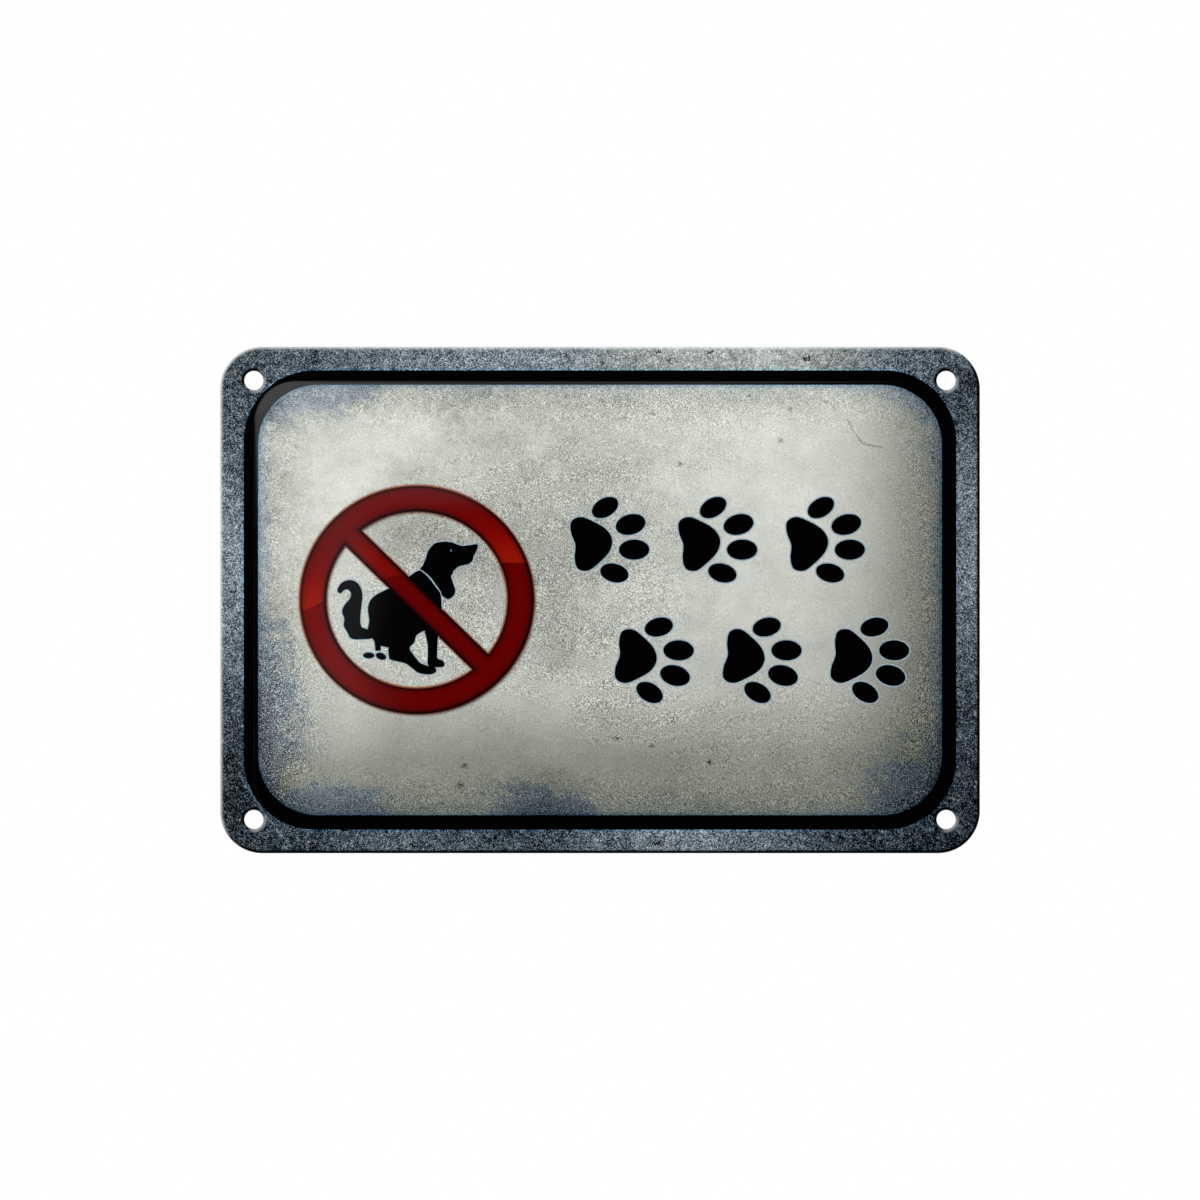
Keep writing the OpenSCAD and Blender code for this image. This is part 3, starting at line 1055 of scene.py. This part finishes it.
def prohibition_ring():
    """The ring with its bar: one outline outside, and a window on each side of the bar."""
    bar_end = math.degrees(BAR_TURN)
    half_angle = math.degrees(math.asin(BAR_W / 2 / RING_INNER_R))
    upper = arc(RING_INNER_R, half_angle - bar_end, 180 - bar_end - half_angle, WINDOW_STEPS)
    lower = arc(RING_INNER_R, 180 - bar_end + half_angle, 360 - bar_end - half_angle, WINDOW_STEPS)
    loops = [circle(0.0, 0.0, RING_OUTER_R, RING_STEPS), in_short_steps(upper), in_short_steps(lower)]
    outer, *windows = [in_ring([(x * RING_STRETCH, z) for x, z in loop]) for loop in loops]
    ink("prohibition_ring", RED, [outer], windows, lift=INK_LIFT * 2)


def paw(cx, cz, lean):
    """The print of one paw: a broad pad and four toes."""
    shapes = [curve(PAD)]
    for ahead, beside, half_w, half_h, splay in TOE_PAIRS:
        for side in (-1, 1):
            shapes.append(ellipse(ahead, side * beside, half_w, half_h, lean=side * splay, steps=32))
    return [placed(shape, cx, cz, PAW_SIZE, lean) for shape in shapes]


def paw_trail():
    """Two rows of paw prints, left feet above and right feet below."""
    parts = []
    for i in range(3):
        for (x, z), lean in ((UPPER_PAWS, PAW_LEAN), (LOWER_PAWS, -PAW_LEAN)):
            parts += paw(x + PAW_STEP * i, z, lean)
    ink("paw_outlines", HALO, [grown(part, PAW_HALO_W) for part in parts], lift=HALO_LIFT)
    ink("paw_prints", BLACK, parts)


def studio():
    """A white room, dimmer than it looks, so that colours come out as they are written."""
    world = bpy.data.worlds.new("studio")
    bpy.context.scene.world = world
    world.use_nodes = True
    w = Wiring(world.node_tree)
    rays = w.add("ShaderNodeLightPath").outputs
    visible = w.most(rays["Is Camera Ray"], w.most(rays["Is Glossy Ray"], rays["Is Transmission Ray"]))
    strength = w.fade(visible, 0.0, 1.0, before=ROOM_LIGHT, after=1.0)
    sky = w.add("ShaderNodeBackground", Color=WHITE, Strength=strength)
    w.add("ShaderNodeOutputWorld", Surface=sky.outputs[0])


def studio_sheet(name, corners, material):
    """One flat sheet of the studio, which is no part of the sign."""
    mesh = bpy.data.meshes.new(name)
    mesh.from_pydata(corners, [], [tuple(range(len(corners)))])
    mesh.materials.append(material)
    plane = bpy.data.objects.new(name, mesh)
    bpy.context.collection.objects.link(plane)
    return plane


def floor():
    """A pale floor below the sign that keeps its shadow and fades into the white of the room."""
    material, w = new_material("studio_floor")
    far = w.vector("LENGTH", w.add("ShaderNodeTexCoord").outputs["Object"]).outputs["Value"]
    pale = w.add("ShaderNodeBsdfDiffuse", Color=(0.93, 0.93, 0.93, 1))
    white = w.add("ShaderNodeEmission", Color=WHITE, Strength=1.0)
    rays = w.add("ShaderNodeLightPath").outputs
    visible = w.most(rays["Is Camera Ray"], rays["Is Glossy Ray"])
    w.mixed_surface(w.times(visible, w.fade(far, 0.5, 1.3)), pale, white)
    studio_sheet("studio_floor", [(x * FLOOR_REACH, y * FLOOR_REACH, FLOOR_Z) for x, y in SQUARE], material)


def open_above(w, x, z):
    """The light that comes over the cards, in two steps towards the left."""
    steps = w.plus(w.fade(x, 0.2, 0.13, after=0.38), w.fade(x, -0.16, -0.2, after=0.62))
    return w.times(steps, w.fade(z, 0.3, 0.7))


def open_at_left(w, x, z):
    """The light that comes past a curved edge at the left, faint at first, and only above a sill."""
    up = w.most(z, 0.0)
    down = w.least(z, 0.0)
    curved = w.plus(w.times(w.math("POWER", up, 4.0), 58.0), w.times(down, w.plus(w.times(down, 3.0), 0.3)))
    edge = w.least(w.minus(curved, 0.322), -0.1)
    past_edge = w.fade(w.minus(x, edge), 0.012, -0.012)
    faint = w.times(past_edge, w.fade(x, -0.36, -0.42, before=0.245, after=0.11))
    bright = w.fade(x, -0.5, -0.9, after=0.7)
    sill = w.fade(x, -0.42, -0.5, before=-0.24, after=0.085)
    return w.times(w.plus(faint, bright), w.fade(w.minus(z, sill), 0.0, 0.06))


def dark_cards():
    """Black card in front of the sign, below it and at its right, seen only in its gloss."""
    material, w = new_material("black_card")
    parts = w.add("ShaderNodeSeparateXYZ", Vector=w.add("ShaderNodeTexCoord").outputs["Object"])
    black = w.add("ShaderNodeBsdfDiffuse", Color=(0.0, 0.0, 0.0, 1))
    clear = w.add("ShaderNodeBsdfTransparent", Color=WHITE)
    x, z = parts.outputs[0], parts.outputs[2]
    w.mixed_surface(w.most(open_above(w, x, z), open_at_left(w, x, z)), black, clear)

    reach, near, right, low = 4.0, -2.0, 1.6, FLOOR_Z + 0.05
    side_end, low_end = 0.9, 0.25
    front = [(x * reach, near, z * reach) for x, z in SQUARE]
    side = [(right, y, z) for y, z in ((near, -reach), (side_end, -reach), (side_end, reach), (near, reach))]
    below = [(x, y, low) for x, y in ((-reach, near), (reach, near), (reach, low_end), (-reach, low_end))]
    for name, corners in (("front_card", front), ("side_card", side), ("low_card", below)):
        card = studio_sheet(name, corners, material)
        card.visible_camera = False
        card.visible_diffuse = False
        card.visible_transmission = False
        card.visible_shadow = False


def lamp(name, place, size, energy):
    """A square soft lamp that faces the sign."""
    light = bpy.data.lights.new(name, "AREA")
    light.size = size
    light.energy = energy
    stand = bpy.data.objects.new(name, light)
    bpy.context.collection.objects.link(stand)
    stand.location = place
    stand.rotation_euler = (-Vector(place)).to_track_quat("-Z", "Y").to_euler()
    stand.visible_glossy = False


def camera():
    """The camera, straight in front of the sign as in the photograph."""
    lens = bpy.data.cameras.new("camera")
    lens.lens = LENS
    lens.sensor_width = SENSOR
    stand = bpy.data.objects.new("camera", lens)
    bpy.context.collection.objects.link(stand)
    stand.location = (0.0, RIM_Y * MM - CAMERA_AWAY, 0.0)
    stand.rotation_euler = (math.pi / 2, 0, 0)
    bpy.context.scene.camera = stand


PRESS, PRESS_SOCKETS = press_tool()
BLACK = black_print()
RED = red_print()
HALO = halo_print()

sheet()
frame_line()
dog_figure()
prohibition_ring()
paw_trail()

studio()
floor()
dark_cards()
lamp("key", place=(-0.75, -0.9, 0.95), size=0.7, energy=16)
camera()
bpy.context.scene.view_settings.view_transform = "Standard"
